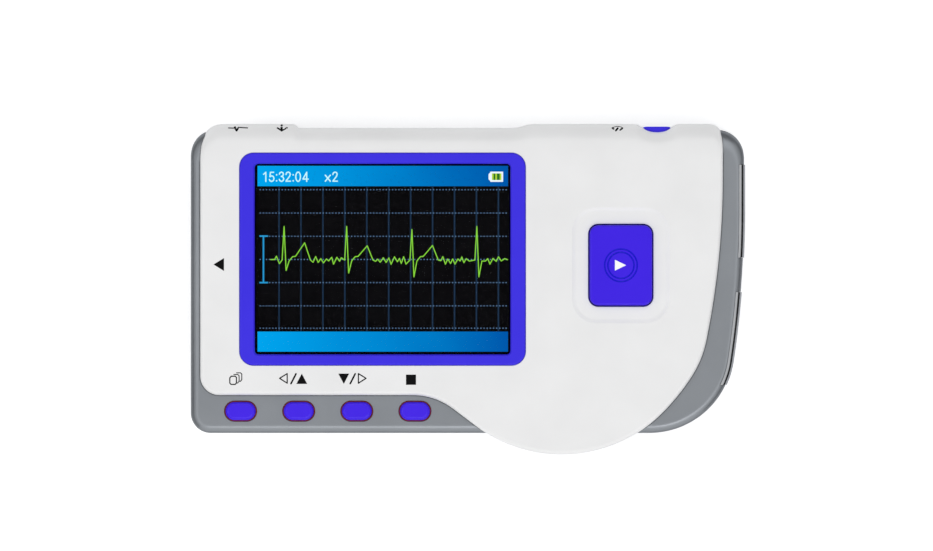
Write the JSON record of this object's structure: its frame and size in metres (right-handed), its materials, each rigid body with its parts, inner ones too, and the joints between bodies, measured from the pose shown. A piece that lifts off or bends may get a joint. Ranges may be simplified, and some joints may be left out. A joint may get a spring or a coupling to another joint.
{
  "type": "ecg home monitor",
  "caption": "Hand-held single-lead ECG monitor with a framed colour screen, oval keys, a large measure button, a power button and metal finger electrodes on both sides.",
  "frame": {"origin": "under the middle of the back face, which lies on the surface", "axes": "+X along the body towards the two finger electrodes, +Y towards the top edge with the power button, +Z out of the screen"},
  "size_m": [0.1254, 0.0749, 0.0223],
  "materials": {
    "white_cover": "satin gloss white moulding",
    "grey_shell": "satin grey moulding",
    "blue_trim": "glossy violet blue moulding",
    "window": "clear acrylic window",
    "display": "colour liquid crystal display",
    "black_parts": "black moulding",
    "white_inner": "white inner tray",
    "flex": "amber polyimide ribbon",
    "board": "green solder mask",
    "steel": "bright plated steel",
    "silicone": "dark red silicone",
    "electrode": "polished stainless steel",
    "contacts": "gilt contact strip",
    "cell_jacket": "printed battery jacket, left plain"
  },
  "bodies": {
    "root": {"face_cover": "white_cover", "front_frame": "grey_shell", "back_cover": "grey_shell", "screen_bezel": "blue_trim", "display_lens": "window", "display_gasket": "black_parts", "lcd_panel": "display", "backlight_tray": "white_inner", "lcd_flex": "flex", "flex_connector": "black_parts", "main_board": "board", "processor": "black_parts", "memory_chip": "black_parts", "amplifier_shield": "steel", "crystal": "steel", "buzzer": "black_parts", "measure_pad": "silicone", "measure_switch": "black_parts", "key_mat": "silicone", "key_switches": "black_parts", "power_switch": "black_parts", "index_electrode": "electrode", "middle_electrode": "electrode", "left_electrode": "electrode", "electrode_contacts": "contacts", "battery_upper": "cell_jacket", "battery_lower": "cell_jacket", "battery_springs": "steel", "battery_plates": "steel", "lead_socket": "black_parts", "data_socket": "steel", "case_screws": "steel"},
    "menu_key": {"key_menu": "blue_trim"},
    "left_key": {"key_left": "blue_trim"},
    "right_key": {"key_right": "blue_trim"},
    "stop_key": {"key_stop": "blue_trim"},
    "measure_key": {"measure_button": "blue_trim"},
    "power_key": {"power_button": "blue_trim"},
    "door": {"battery_door": "grey_shell"}
  },
  "joints": [
    {"name": "press_menu", "type": "slide", "parent": "root", "child": "menu_key", "axis": [0, 0, -1], "range_m": [0, 0.0004], "stiffness_N_per_m": 1500},
    {"name": "press_left", "type": "slide", "parent": "root", "child": "left_key", "axis": [0, 0, -1], "range_m": [0, 0.0004], "stiffness_N_per_m": 1500},
    {"name": "press_right", "type": "slide", "parent": "root", "child": "right_key", "axis": [0, 0, -1], "range_m": [0, 0.0004], "stiffness_N_per_m": 1500},
    {"name": "press_stop", "type": "slide", "parent": "root", "child": "stop_key", "axis": [0, 0, -1], "range_m": [0, 0.0004], "stiffness_N_per_m": 1500},
    {"name": "press_measure", "type": "slide", "parent": "root", "child": "measure_key", "axis": [0, 0, -1], "range_m": [0, 0.0006], "stiffness_N_per_m": 1800},
    {"name": "press_power", "type": "slide", "parent": "root", "child": "power_key", "axis": [0, -1, 0], "range_m": [0, 0.0004], "stiffness_N_per_m": 1500},
    {"name": "door_slide", "type": "slide", "parent": "root", "child": "door", "axis": [0, -1, 0], "range_m": [0, 0.026]}
  ]
}
